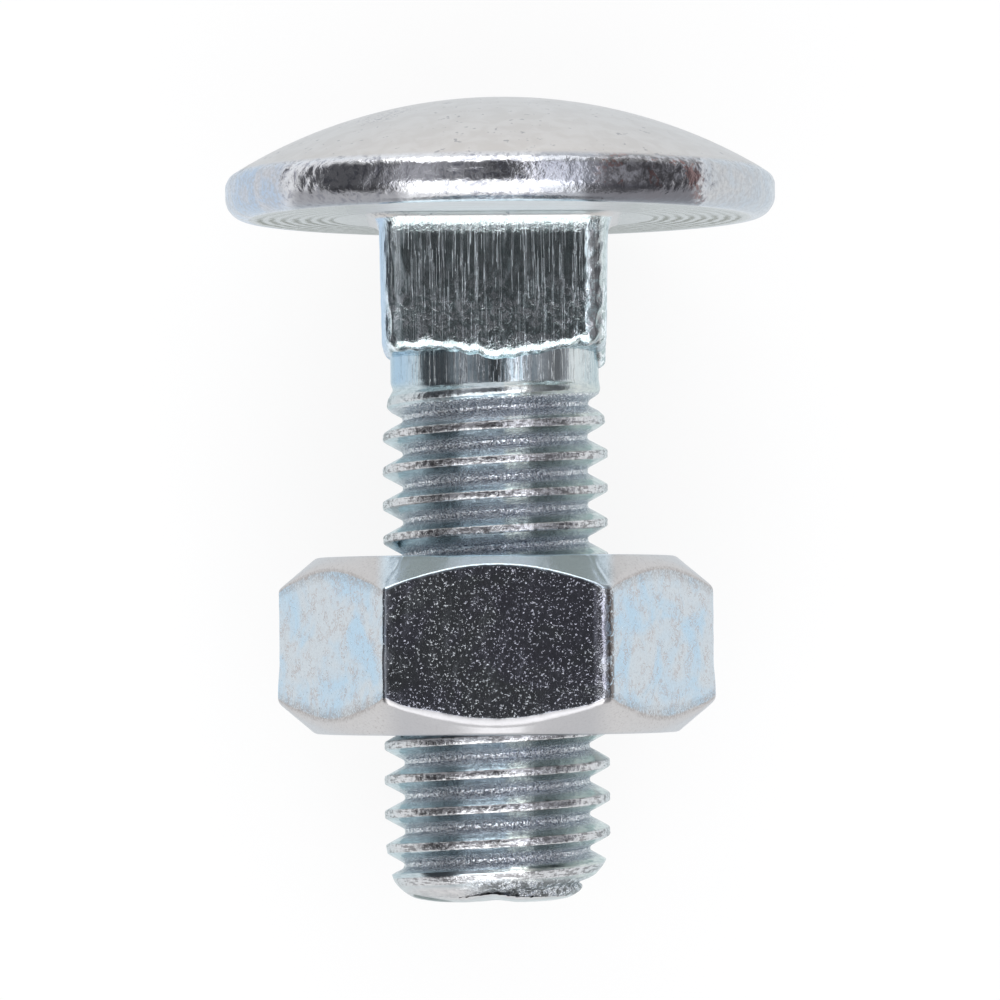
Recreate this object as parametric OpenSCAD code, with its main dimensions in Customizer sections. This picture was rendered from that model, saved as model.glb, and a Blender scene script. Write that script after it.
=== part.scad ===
// Carriage bolt with its hex nut screwed part-way on, lying on a flat surface as it comes to rest.
// It touches that surface at the head's rim and at the outer edge of one flat of the nut.
// Millimetres. Row frame: +Z up, +Y from the thread's end towards the head.
// Each piece is drawn upright first: axis on Z, head up, the head's bearing face at z = 0.

/* [Head] */
// Diameter of the cup head
head_d = 24.1; // [22:0.1:27]
// Height of the dome's top above the bearing face
head_h = 5.3; // [4:0.1:6.5]
// Height at which the dome's curve reaches the head's full diameter
rim_h = 1.75; // [1.5:0.05:2.2]
// Radius of the rim's upper corner, below the dome
rim_top_round = 0.6; // [0.3:0.05:0.9]
// Radius of the rim's lower corner, beside the bearing face
rim_bottom_round = 0.95; // [0.3:0.05:1.1]
// Sideways offset of the forged head from the shank's axis
head_shift = 0.3; // [0:0.05:0.5]

/* [Square neck] */
// Width across the neck's flats at the head
neck_w = 9.94; // [9.7:0.02:11]
// Width across the neck's flats at its lower end
neck_end_w = 9.72; // [9.5:0.02:11]
// Length of the neck, from the bearing face
neck_len = 6; // [4:0.05:6.4]
// Radius of the neck's four long edges
neck_corner_r = 1.05; // [0.4:0.05:1.6]
// Radius of the fillet between neck and head
neck_fillet_r = 0.6; // [0.2:0.05:1]
// Radius of the neck's lower edge
neck_edge_r = 0.15; // [0.05:0.05:0.3]

/* [Shank and thread] */
// Length of the bolt under its head
bolt_len = 29.8; // [24:0.1:60]
// Diameter of the plain shank, which is the blank that the thread was rolled on
shank_d = 9.13; // [8.9:0.01:9.3]
// Distance from the bearing face to the start of the thread's run-out
shank_len = 7; // [6.6:0.1:12]
// Length over which the rolled thread's crests grow to their full height
runout_len = 2.6; // [1.5:0.1:6]
// Length over which its root grows to its full depth
root_runout_len = 1.3; // [0.8:0.1:6]
// Diameter over the thread's crests
thread_d = 9.87; // [9.7:0.01:10]
// Diameter at the thread's root
root_d = 8.1; // [7.8:0.02:8.3]
// Pitch of the right-hand thread
pitch = 1.5; // [1.25:0.25:1.75]
// Width of the flat on the thread's crest
crest_flat = 0.4; // [0.1:0.05:0.45]
// Width of the flat at the thread's root
root_flat = 0.22; // [0.1:0.02:0.3]
// Distance from the bearing face to the middle of the first crest, on the side of +X
first_crest = 7.3; // [6.6:0.05:8.1]
// Length of the rounded end of the rolled thread
tip_len = 2.2; // [1:0.1:3]
// Diameter of the flat end face
tip_d = 5.6; // [3:0.1:7]
// Diameter of the hollow that rolling leaves in the end face
hollow_d = 3.8; // [1:0.1:4.4]
// Depth of that hollow
hollow_depth = 0.35; // [0.1:0.05:0.8]
// Number of flat steps in one turn of the thread
turn_steps = 28; // [20:4:32]

/* [Nut] */
// Width across the nut's flats
nut_af = 16.65; // [16:0.05:17]
// Height of the nut
nut_h = 7.7; // [6:0.1:9]
// Radius of the nut's six long edges
nut_edge_r = 0.6; // [0.2:0.05:0.8]
// Diameter of the flat ring on each end of the nut
nut_face_d = 15.74; // [14.5:0.02:15.9]
// Angle between the corner chamfer and the nut's end
nut_chamfer_angle = 40; // [25:1:42]
// Diameter of the countersink at each end of the nut's bore
nut_csk_d = 10.8; // [10.4:0.05:11.2]
// Radial running clearance of the nut on the thread's crests
nut_clearance = 0.06; // [0.03:0.01:0.1]
// Distance from the head's bearing face to the nut
grip = 14.8; // [10.5:0.1:20]

/* [Hidden] */

// Length by which joined solids run into each other
joint_lap = 0.8;
// Length by which a cut overruns the piece that it cuts
overrun = 1;
// Small step that keeps the thread's core just inside the plain shank
core_step = 0.03;
// Nearest that a row of the thread may come to an end ring
row_margin = 0.01;
// Heights of the end rings above the bolt's end face
tip_steps = [0, 0.1, 0.25];
// Angles between the flat steps of the neck's long edges, of its lower edge and of its fillet
neck_steps = [18, 45, 15];

head_r = head_d / 2;
rise = head_h - rim_h;
dome_r = (head_r * head_r + rise * rise) / (2 * rise);
dome_z = head_h - dome_r;
top_round_x = head_r - rim_top_round;
top_round_z = dome_z + sqrt(pow(dome_r - rim_top_round, 2) - pow(top_round_x, 2));
top_round_angle = atan2(top_round_z - dome_z, top_round_x);

core_r = shank_d / 2 - core_step;
crest_r = thread_d / 2;
tip_r = tip_d / 2;
tip_z = -bolt_len;
thread_top = joint_lap - shank_len;

nut_bore_r = crest_r + nut_clearance;
nut_csk_angle = 120;
// Angle at which the rounding of a long edge meets the flats
nut_edge_break = 8;
nut_csk_depth = (nut_csk_d / 2 - nut_bore_r) / tan(nut_csk_angle / 2);
nut_corner_x = nut_af / 2 / cos(30);
nut_chamfer_apex = (nut_af - nut_face_d) / 2 * tan(nut_chamfer_angle);

// The resting tilt: the line under the rim's lower corner and the nut's chamfered edge is level.
rest_dr = head_r - rim_bottom_round - nut_af / 2;
rest_dz = rim_bottom_round + grip + nut_h - nut_chamfer_apex;
tilt = atan2(rest_dr, rest_dz) + asin(rim_bottom_round / norm([rest_dr, rest_dz]));
low_z = -rim_bottom_round * (1 - sin(tilt)) - (head_r - rim_bottom_round) * cos(tilt);
high_y = dome_r + dome_z * cos(tilt);
low_y = min([
    for (t = tip_steps) (tip_z + t) * cos(tilt) - tip_radius(t) * sin(tilt),
    -(grip + nut_h) * cos(tilt) - nut_face_d / 2 * sin(tilt)
]);

// Radius of the rounded end at height t above its face: a quarter ellipse
function tip_radius(t) =
    t >= tip_len ? crest_r : tip_r + (crest_r - tip_r) * sqrt(1 - pow(1 - t / tip_len, 2));

// Lays an upright piece down at its resting tilt, with the origin under the middle of its outline.
module laid() {
    translate([-head_shift, -(low_y + high_y) / 2, -low_z]) rotate([tilt - 90, 0, 0]) children();
}

// One rounded corner of a profile: the sector of a disc between two directions.
module corner(x, z, r, a0, a1) {
    reach = 2 * r;
    translate([x, z]) intersection() {
        circle(r);
        polygon([
            [0, 0],
            reach * [cos(a0), sin(a0)],
            reach * [cos((a0 + a1) / 2), sin((a0 + a1) / 2)],
            reach * [cos(a1), sin(a1)]
        ]);
    }
}

// Half section of the head: the dome, its rounded rim and the flat bearing face.
module head_profile() {
    tangent = [top_round_x, top_round_z] + rim_top_round * [cos(top_round_angle), sin(top_round_angle)];
    intersection() {
        translate([0, dome_z]) circle(dome_r);
        square([tangent.x, head_h]);
    }
    polygon([
        [0, rim_bottom_round],
        [head_r, rim_bottom_round],
        [head_r, top_round_z],
        [top_round_x, top_round_z],
        tangent,
        [0, tangent.y]
    ]);
    corner(top_round_x, top_round_z, rim_top_round, 0, top_round_angle);
    square([head_r - rim_bottom_round, rim_bottom_round]);
    corner(head_r - rim_bottom_round, rim_bottom_round, rim_bottom_round, -90, 0);
}

// One rounded square around the axis, as points at height z.
function neck_ring(half, corner_r, z) = [
    for (side = [0:3], a = [0:neck_steps[0]:90])
        let (q = half - corner_r, dir = side * 90, c = [cos(dir) * q - sin(dir) * q, sin(dir) * q + cos(dir) * q])
            [c.x + corner_r * cos(dir + a), c.y + corner_r * sin(dir + a), z]
];

// Half width of the drafted neck at height z
function neck_half(z) = (neck_w + (neck_end_w - neck_w) * -z / neck_len) / 2;

// A solid through a stack of rings that all have the same number of points, from the lowest ring up.
module lofted(rings) {
    n = len(rings[0]);
    last = len(rings) - 1;
    polyhedron(
        points = [for (ring = rings, p = ring) p],
        faces = [
            [for (i = [0:n - 1]) i],
            for (k = [0:last - 1], i = [0:n - 1])
                let (j = (i + 1) % n, a = k * n, b = a + n)
                    each [[a + i, b + i, b + j], [a + i, b + j, a + j]],
            [for (i = [n - 1:-1:0]) last * n + i]
        ]
    );
}

// The drafted square neck, with a rounded lower edge and a fillet that runs into the head.
module neck() {
    last_angle = 90 - neck_steps[2];
    shortfall = neck_fillet_r * (1 - sin(last_angle));
    flare = neck_fillet_r * (1 - cos(last_angle)) + 2 * shortfall * tan(last_angle);
    lofted([
        for (a = [0:neck_steps[1]:90])
            let (z = -neck_len + neck_edge_r * (1 - cos(a)), inset = neck_edge_r * (1 - sin(a)))
                neck_ring(neck_half(z) - inset, neck_corner_r - inset, z),
        for (a = [0:neck_steps[2]:last_angle])
            let (z = -neck_fillet_r * (1 - sin(a)), out = neck_fillet_r * (1 - cos(a)))
                neck_ring(neck_half(z) + out, neck_corner_r + out, z),
        for (z = [shortfall, joint_lap]) neck_ring(neck_half(0) + flare, neck_corner_r + flare, z)
    ]);
}

// Heights of a thread's four profile rows within one pitch, from the start of a crest flat
row_offsets = [-crest_flat / 2, crest_flat / 2, (pitch - root_flat) / 2, (pitch + root_flat) / 2];
row_radii = [crest_r, crest_r, root_d / 2, root_d / 2];
thread_foot = tip_z + tip_steps[len(tip_steps) - 1];
row_foot = -first_crest - pitch * ceil((-first_crest - thread_foot) / pitch + 1);
row_count = 4 * ceil((thread_top - row_foot) / pitch + 1);

// Height of profile row k at column j of the helix: it rises by one pitch in a turn.
function row_z(j, k) = row_foot + pitch * (j / turn_steps + floor(k / 4)) + row_offsets[k % 4];

// Radius of profile row k at height z: it grows out of the core, and the rounded end cuts it off.
function row_r(k, z) =
    let (
        run = k % 4 < 2 ? runout_len : root_runout_len,
        grown = min(1, max(0, (-shank_len - z) / run))
    )
        min(core_r + grown * (row_radii[k % 4] - core_r), tip_radius(z - tip_z));

// The rows of column j that lie between the end rings
function first_row(j) = min([for (k = [0:row_count - 1]) if (row_z(j, k) > thread_foot + row_margin) k]);
function last_row(j) = max([for (k = [0:row_count - 1]) if (row_z(j, k) < thread_top - row_margin) k]);

// The rolled thread: columns of points around the axis, joined to their neighbours row by row.
// The last column joins the first one four rows higher, which makes the helix.
module thread() {
    tips = len(tip_steps);
    slots = tips + row_count + 1;
    firsts = [for (j = [0:turn_steps - 1]) first_row(j)];
    lasts = [for (j = [0:turn_steps - 1]) last_row(j)];
    firsts_on = concat(firsts, [firsts[0] - 4]);
    lasts_on = concat(lasts, [lasts[0] - 4]);
    function ring_id(j, s) = (j % turn_steps) * slots + s;
    function top_id(j) = ring_id(j, slots - 1);
    function row_id(j, k) = ring_id(j, tips + k + (j == turn_steps ? 4 : 0));
    function at(j, r, z) = [r * cos(360 * j / turn_steps), r * sin(360 * j / turn_steps), z];
    points = [
        for (j = [0:turn_steps - 1]) each [
            for (t = tip_steps) at(j, tip_radius(t), tip_z + t),
            for (k = [0:row_count - 1]) at(j, row_r(k, row_z(j, k)), row_z(j, k)),
            at(j, core_r, thread_top)
        ]
    ];
    faces = [
        [for (j = [0:turn_steps - 1]) ring_id(j, 0)],
        for (j = [0:turn_steps - 1], s = [0:tips - 2])
            each [
                [ring_id(j, s), ring_id(j, s + 1), ring_id(j + 1, s + 1)],
                [ring_id(j, s), ring_id(j + 1, s + 1), ring_id(j + 1, s)]
            ],
        for (j = [0:turn_steps - 1])
            let (foot = ring_id(j, tips - 1), a = firsts_on[j], b = firsts_on[j + 1])
                each [
                    [foot, row_id(j, a), row_id(j + 1, a)],
                    for (k = [a:-1:b + 1]) [foot, row_id(j + 1, k), row_id(j + 1, k - 1)],
                    [foot, row_id(j + 1, b), ring_id(j + 1, tips - 1)]
                ],
        for (j = [0:turn_steps - 1], k = [firsts_on[j]:lasts_on[j + 1] - 1])
            each [
                [row_id(j, k), row_id(j, k + 1), row_id(j + 1, k + 1)],
                [row_id(j, k), row_id(j + 1, k + 1), row_id(j + 1, k)]
            ],
        for (j = [0:turn_steps - 1])
            let (head = top_id(j + 1), a = lasts_on[j + 1], b = lasts_on[j])
                each [
                    [head, row_id(j + 1, a), row_id(j, a)],
                    for (k = [a:1:b - 1]) [head, row_id(j, k), row_id(j, k + 1)],
                    [head, row_id(j, b), top_id(j)]
                ],
        [for (j = [turn_steps - 1:-1:0]) top_id(j)]
    ];
    polyhedron(points = points, faces = faces);
}

// The bolt: head, neck, shank and thread are one forged and rolled piece.
module bolt() {
    hollow_r = (pow(hollow_d / 2, 2) + pow(hollow_depth, 2)) / (2 * hollow_depth);
    color([0.79, 0.81, 0.83]) laid() difference() {
        union() {
            translate([head_shift, 0, 0]) rotate_extrude() head_profile();
            neck();
            translate([0, 0, -shank_len]) cylinder(h = shank_len + joint_lap, d = shank_d);
            thread();
        }
        translate([0, 0, tip_z + hollow_depth - hollow_r]) sphere(hollow_r);
    }
}

// Outline of the nut: a hexagon with rounded corners, two of them on the X axis.
module nut_outline() {
    reach = nut_edge_r * cos(nut_edge_break);
    edge_x = nut_corner_x - reach / cos(30);
    difference() {
        polygon([for (a = [0:60:300]) nut_corner_x * [cos(a), sin(a)]]);
        for (a = [0:60:300]) rotate(a) difference() {
            translate([edge_x + reach * cos(30), -nut_edge_r]) square(2 * nut_edge_r);
            translate([edge_x, 0]) circle(nut_edge_r);
        }
    }
}

// Everything within the nut's two corner chamfers.
module nut_chamfers() {
    out = nut_corner_x + overrun;
    drop = (out - nut_face_d / 2) * tan(nut_chamfer_angle);
    rotate_extrude() polygon([
        [0, 0],
        [nut_face_d / 2, 0],
        [out, -drop],
        [out, drop - nut_h],
        [nut_face_d / 2, -nut_h],
        [0, -nut_h]
    ]);
}

// The hex nut. Its bore is plain: it clears the thread's crests.
module hex_nut() {
    color([0.76, 0.78, 0.80]) laid() translate([0, 0, -grip]) difference() {
        intersection() {
            translate([0, 0, -nut_h]) linear_extrude(nut_h) nut_outline();
            nut_chamfers();
        }
        translate([0, 0, -nut_h - overrun]) cylinder(h = nut_h + 2 * overrun, r = nut_bore_r);
        translate([0, 0, -nut_csk_depth]) cylinder(h = nut_csk_depth, r1 = nut_bore_r, r2 = nut_csk_d / 2);
        translate([0, 0, -nut_h]) cylinder(h = nut_csk_depth, r1 = nut_csk_d / 2, r2 = nut_bore_r);
    }
}

bolt();
hex_nut();
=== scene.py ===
import math

import bpy
import numpy as np
from mathutils import Matrix, Vector


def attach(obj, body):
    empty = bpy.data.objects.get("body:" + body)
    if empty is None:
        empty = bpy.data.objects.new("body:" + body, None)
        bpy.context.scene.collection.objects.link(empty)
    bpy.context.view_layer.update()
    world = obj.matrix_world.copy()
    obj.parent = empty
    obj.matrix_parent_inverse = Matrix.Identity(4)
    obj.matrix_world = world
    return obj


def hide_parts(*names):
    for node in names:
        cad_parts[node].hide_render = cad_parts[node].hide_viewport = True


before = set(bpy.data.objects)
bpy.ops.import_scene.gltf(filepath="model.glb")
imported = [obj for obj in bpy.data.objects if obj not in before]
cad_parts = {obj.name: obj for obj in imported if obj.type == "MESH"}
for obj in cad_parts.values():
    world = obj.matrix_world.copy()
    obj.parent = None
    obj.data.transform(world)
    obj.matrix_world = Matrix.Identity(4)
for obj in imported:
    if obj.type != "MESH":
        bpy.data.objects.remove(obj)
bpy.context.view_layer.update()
print("frame loaded:", sorted(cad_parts))

# One millimetre in metres
mm = 0.001
# The bolt is worked out upright, in millimetres: axis on Z, head up, the head's bearing face at 0.
# Lying down, it is turned about X and moved so that its lowest point touches the floor.
rest = dict(tilt=9.202789810693638, shift=(-0.3, 12.174713880860798, 11.75519332773682))


# A point laid down: turned by the tilt less a quarter turn about X, moved by the shift, in metres.
def laidDown(points):
    a = math.radians(rest["tilt"])
    x, y, z = np.moveaxis(np.asarray(points, float), -1, 0)
    turned = np.stack([x, y * math.sin(a) + z * math.cos(a), z * math.sin(a) - y * math.cos(a)], -1)
    return (turned + np.array(rest["shift"])) * mm


# Camera
shot = dict(distance=260.0, eyeHeight=-18.4, aimX=0.2, aimHeight=-12.31, pictureWidth=43.8, roll=-0.4)


def placeCamera():
    data = bpy.data.cameras.new("studioCamera")
    data.sensor_width = 36.0
    data.lens = data.sensor_width * shot["distance"] / shot["pictureWidth"]
    data.clip_start, data.clip_end = 0.01, 20.0
    camera = bpy.data.objects.new("studioCamera", data)
    bpy.context.collection.objects.link(camera)
    eye, aim = (Vector(laidDown(p)) for p in (
        (shot["aimX"], -shot["distance"], shot["eyeHeight"]), (shot["aimX"], 0, shot["aimHeight"])))
    up = Vector(laidDown((0, 0, 1)) - laidDown((0, 0, 0)))
    back = (eye - aim).normalized()
    right = up.cross(back).normalized()
    turn = Matrix((right, back.cross(right), back)).transposed().to_4x4()
    roll = Matrix.Rotation(math.radians(shot["roll"]), 4, "Z")
    camera.matrix_world = Matrix.Translation(eye) @ turn @ roll
    bpy.context.scene.camera = camera


placeCamera()
bpy.context.scene.view_settings.view_transform = "Standard"
print("camera placed")


# Smooth irregularity of a surface: a sum of cosine waves round the axis and along it, with whole numbers of
# waves in a turn.
def ripple(angle, height, seed, waves=14, around=(2, 30), along=(0.3, 4.0)):
    draw = np.random.default_rng(seed)
    total = np.zeros(np.broadcast(angle, height).shape)
    for _ in range(waves):
        m = draw.integers(around[0], around[1])
        k = draw.uniform(along[0], along[1]) * draw.choice((-1, 1))
        total += np.cos(m * angle + k * height + draw.uniform(0, 2 * math.pi))
    return total / math.sqrt(waves / 2)


def smooth(low, high, value):
    t = np.clip((value - low) / (high - low), 0, 1)
    return t * t * (3 - 2 * t)


# A grid of rows by columns becomes triangles. Column n is column 0 again, shift rows further on.
def gridFaces(rows, columns, shift, flip):
    row, column = np.meshgrid(np.arange(rows - 1), np.arange(columns), indexing="ij")
    jump = np.where(column == columns - 1, shift, 0)
    keep = row + jump + 1 < rows
    row, column, jump = row[keep], column[keep], jump[keep]
    after = (column + 1) % columns
    a, b = row * columns + column, (row + jump) * columns + after
    c, d = (row + jump + 1) * columns + after, (row + 1) * columns + column
    faces = np.concatenate([np.stack([a, b, c], 1), np.stack([a, c, d], 1)])
    return faces[:, ::-1] if flip else faces


# Angle between faces, in degrees, from which an edge is shaded sharp
sharpFrom = 35


# Puts grids into one mesh object. Points that coincide, as in a pole, a clamped row or a shared ring, are
# merged, and the faces that vanish are left out, so the grids close to one skin. Each mask is a value for
# every point.
def addPiece(name, grids, material, body, node):
    place, faces, marks, count = [], [], {}, 0
    for grid in grids:
        rows, columns = grid["points"].shape[:2]
        place.append(grid["points"].reshape(-1, 3))
        faces.append(gridFaces(rows, columns, grid["shift"], grid.get("flip", False)) + count)
        for key, value in grid["masks"].items():
            marks.setdefault(key, []).append(np.broadcast_to(value, (rows, columns)).reshape(-1))
        count += rows * columns
    place, faces = np.concatenate(place), np.concatenate(faces)
    _, first, same = np.unique(np.round(place, 5), axis=0, return_index=True, return_inverse=True)
    faces = first[same.reshape(-1)[faces]]
    whole = (faces[:, 0] != faces[:, 1]) & (faces[:, 1] != faces[:, 2]) & (faces[:, 2] != faces[:, 0])
    used, faces = np.unique(faces[whole], return_inverse=True)
    faces = faces.reshape(-1, 3)
    mesh = bpy.data.meshes.new(name)
    mesh.vertices.add(len(used))
    mesh.vertices.foreach_set("co", laidDown(place[used]).astype(np.float32).ravel())
    mesh.loops.add(len(faces) * 3)
    mesh.loops.foreach_set("vertex_index", faces.astype(np.int32).ravel())
    mesh.polygons.add(len(faces))
    mesh.polygons.foreach_set("loop_start", np.arange(0, len(faces) * 3, 3, dtype=np.int32))
    mesh.update(calc_edges=True)
    for key, value in marks.items():
        layer = mesh.attributes.new(key, "FLOAT", "POINT")
        layer.data.foreach_set("value", np.concatenate(value)[used].astype(np.float32))
    mesh.polygons.foreach_set("use_smooth", np.ones(len(faces), bool))
    mesh.set_sharp_from_angle(angle=math.radians(sharpFrom))
    mesh.materials.append(material)
    piece = bpy.data.objects.new(name, mesh)
    bpy.context.collection.objects.link(piece)
    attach(piece, body)
    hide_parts(node)
    print(name, "made:", len(used), "points,", len(faces), "triangles")


# Shader maths: one socket of a node tree. Arithmetic on it adds Math nodes.
class Wire:
    def __init__(self, tree, socket=None):
        self.tree, self.socket = tree, socket

    # Any node: its settings are set first, then its sockets get values or links.
    def add(self, kind, settings=None, sockets=None, output=0):
        made = self.tree.nodes.new(kind)
        for key, value in (settings or {}).items():
            if key == "stops":
                ramp = made.color_ramp
                while len(ramp.elements) < len(value):
                    ramp.elements.new(0.5)
                for element, (position, colour) in zip(ramp.elements, value):
                    element.position, element.color = position, (*colour, 1)
            else:
                setattr(made, key, value)
        for key, value in (sockets or {}).items():
            if isinstance(value, Wire):
                self.tree.links.new(value.socket, made.inputs[key])
            else:
                made.inputs[key].default_value = value
        return Wire(self.tree, made.outputs[output]) if made.outputs else None

    def maths(self, operation, *values):
        return self.add("ShaderNodeMath", {"operation": operation}, dict(enumerate(values)))

    def __add__(self, other):
        return self.maths("ADD", self, other)

    def __sub__(self, other):
        return self.maths("SUBTRACT", self, other)

    def __rsub__(self, other):
        return self.maths("SUBTRACT", other, self)

    def __mul__(self, other):
        return self.maths("MULTIPLY", self, other)

    def __truediv__(self, other):
        return self.maths("DIVIDE", self, other)

    def __pow__(self, other):
        return self.maths("POWER", self, other)

    def __neg__(self):
        return self.maths("SUBTRACT", 0.0, self)

    def __abs__(self):
        return self.maths("ABSOLUTE", self)

    __radd__, __rmul__ = __add__, __mul__

    # 0 below low, 1 above high, a smooth step between
    def step(self, low, high):
        return self.add("ShaderNodeMapRange", {"interpolation_type": "SMOOTHSTEP"},
                        {0: self, 1: low, 2: high, 3: 0.0, 4: 1.0})

    # 1 from b to c, 0 below a and above d
    def band(self, a, b, c, d):
        return self.step(a, b) * (1 - self.step(c, d))

    # one colour or the other, by a factor
    def mix(self, factor, first, second):
        first, second = (c if isinstance(c, Wire) else (*c, 1) for c in (first, second))
        return self.add("ShaderNodeMix", {"data_type": "RGBA"}, {0: factor, 6: first, 7: second}, 2)

    # noise on a vector, 0 to 1 about a half; stretch scales the vector first
    def noise(self, at, scale, detail=3.0, stretch=(1, 1, 1), rough=0.55, warp=0.0):
        if tuple(stretch) != (1, 1, 1):
            at = self.add("ShaderNodeVectorMath", {"operation": "MULTIPLY"}, {0: at, 1: stretch})
        return self.add("ShaderNodeTexNoise", {}, {
            "Vector": at, "Scale": scale, "Detail": detail, "Roughness": rough, "Distortion": warp})

    # a vector's X, Y and Z
    def parts(self):
        made = self.add("ShaderNodeSeparateXYZ", {}, {0: self})
        return (Wire(self.tree, socket) for socket in made.socket.node.outputs)

    def masks(self, *names):
        return (self.add("ShaderNodeAttribute", {"attribute_name": name}, output="Fac") for name in names)


# Upright millimetres, from Object coordinates: the laying down undone.
def uprightPlace(wire):
    place = wire.add("ShaderNodeTexCoord", output="Object")
    return wire.add("ShaderNodeMapping", {"vector_type": "TEXTURE"}, {
        "Vector": place, "Location": tuple(v * mm for v in rest["shift"]),
        "Rotation": (math.radians(rest["tilt"] - 90), 0, 0), "Scale": (mm, mm, mm)})


def newMaterial(name):
    material = bpy.data.materials.new(name)
    material.use_nodes = True
    material.node_tree.nodes.clear()
    return material, Wire(material.node_tree)


# How zinc plating tints a grazing reflection
plateTint = (0.86, 0.92, 0.97)


# Ends a material: a metal with an edge tint, whose relief is in millimetres. Dull strokes make it less
# metallic.
def finishZinc(wire, colour, rough, relief, edgeTint, metallic=1.0):
    bump = wire.add("ShaderNodeBump", {}, {"Strength": 1.0, "Distance": mm, "Height": relief})
    shader = wire.add("ShaderNodeBsdfPrincipled", {}, {
        "Base Color": colour, "Roughness": rough, "Metallic": metallic, "Normal": bump,
        "Specular Tint": (*edgeTint, 1)})
    wire.add("ShaderNodeOutputMaterial", {}, {"Surface": shader})


# The cup: a dull, faintly warm grey in two shades by noise, with small dark dents where coarser noise
# passes a threshold, and a scuffed place on its left, an ellipse in X and Y.
def cupZone(wire, at, x, y, patch, fine):
    dent = wire.noise(at, 2.2, 2.0, rough=0.7).step(0.655, 0.70)
    away = (x + 4.7) * (x + 4.7) * 0.5 + (y + 4.6) * (y + 4.6) * 0.3
    scuff = fine.step(0.54, 0.60) * (1 - away.step(0.3, 1.2))
    colour = wire.mix(patch.step(0.35, 0.65), (0.615, 0.59, 0.57), (0.665, 0.645, 0.63))
    colour = wire.mix(dent * 0.6, colour, (0.28, 0.28, 0.30))
    colour = wire.mix(scuff * 0.7, colour, (0.30, 0.30, 0.33))
    return colour, 0.005 * patch + 0.0012 * fine - 0.012 * dent - 0.015 * scuff


# The rim: painted blue at its sides, a painted reflection in the plating's tint, less so on the right, and
# mottled by noise in front, with a darker band of painted shade, a lighter band of painted highlight and
# sooty bands between places on X, and dark along its lower edge.
def rimZone(wire, x, z, frontSide, patch, fine, mottle):
    side = abs(x)
    # painted reflection: the rim's sides are painted blue, the plating's tint where they turn away, less so
    # on the right
    paintedSideBlue = wire.mix(patch.step(0.34, 0.66), (0.46, 0.56, 0.70), (0.59, 0.60, 0.64))
    paintedSideBlue = wire.mix(x.step(0.0, 1.0) * 0.65, paintedSideBlue, (0.58, 0.59, 0.585))
    paintedSideBlue = wire.mix(fine.step(0.42, 0.58) * 0.55, paintedSideBlue, (0.43, 0.44, 0.46))
    sooty = wire.mix(mottle.step(0.42, 0.62), (0.16, 0.155, 0.16), (0.44, 0.44, 0.47))
    sooty = wire.mix((patch + 0.6 * (fine - 0.5)).step(0.56, 0.62), sooty, (0.22, 0.12, 0.11))
    worn = wire.mix(mottle.step(0.36, 0.52), (0.42, 0.43, 0.48), (0.72, 0.73, 0.76))
    wavy = x + 1.2 * (mottle - 0.5)
    # painted shade: a darker band on the front, right of the middle
    worn = wire.mix(wavy.band(1.6, 2.3, 4.0, 4.8) * frontSide * 0.75, worn, (0.36, 0.38, 0.42))
    # painted highlight: a lighter band on the front, left of the middle
    worn = wire.mix(wavy.band(-4.9, -4.3, -2.6, -2.0) * frontSide * 0.6, worn, (0.86, 0.87, 0.90))
    worn = wire.mix(wavy.band(4.0, 4.9, 8.7, 9.0) * frontSide * 0.85, worn, sooty)
    lowBand = (0.85 - z).step(0.0, 0.3) * side.band(3.4, 4.2, 8.2, 9.0)
    worn = wire.mix(lowBand * (0.7 + 0.25 * x.step(0.0, 1.0)), worn, (0.17, 0.17, 0.19))
    colour = wire.mix((side + 0.8 * (mottle - 0.5)).step(8.6, 9.3), worn, paintedSideBlue)
    return colour, 0.011 * fine + 0.022 * mottle


# The underside: fine rings, noise on the radius, and wider dull ones, a sawtooth on the radius that noise
# breaks up. It is lighter in the middle of its front.
def underZone(wire, x, y, centre, patch, fine):
    radius = (x * x + y * y) ** 0.5
    rings = wire.add("ShaderNodeTexNoise", {"noise_dimensions": "1D"},
                     {"W": radius, "Scale": 6.0, "Detail": 3.0})
    saw = wire.maths("FRACT", radius * 1.9 + 0.7 * (patch - 0.5))
    strokes = saw.band(0.1, 0.5, 0.5, 0.9) * radius.band(6.6, 7.4, 10.6, 11.1)
    strokes = strokes * fine.step(0.34, 0.50) * (0.25 + 0.75 * y.step(-2.5, 0.5))
    colour = wire.mix(centre, (0.42, 0.43, 0.40), (0.86, 0.85, 0.86))
    colour = wire.mix(strokes * 0.6 + rings.step(0.45, 0.7) * 0.3, colour, (0.24, 0.26, 0.23))
    return colour, 0.014 * rings + 0.03 * strokes + 0.003 * fine, strokes


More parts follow.
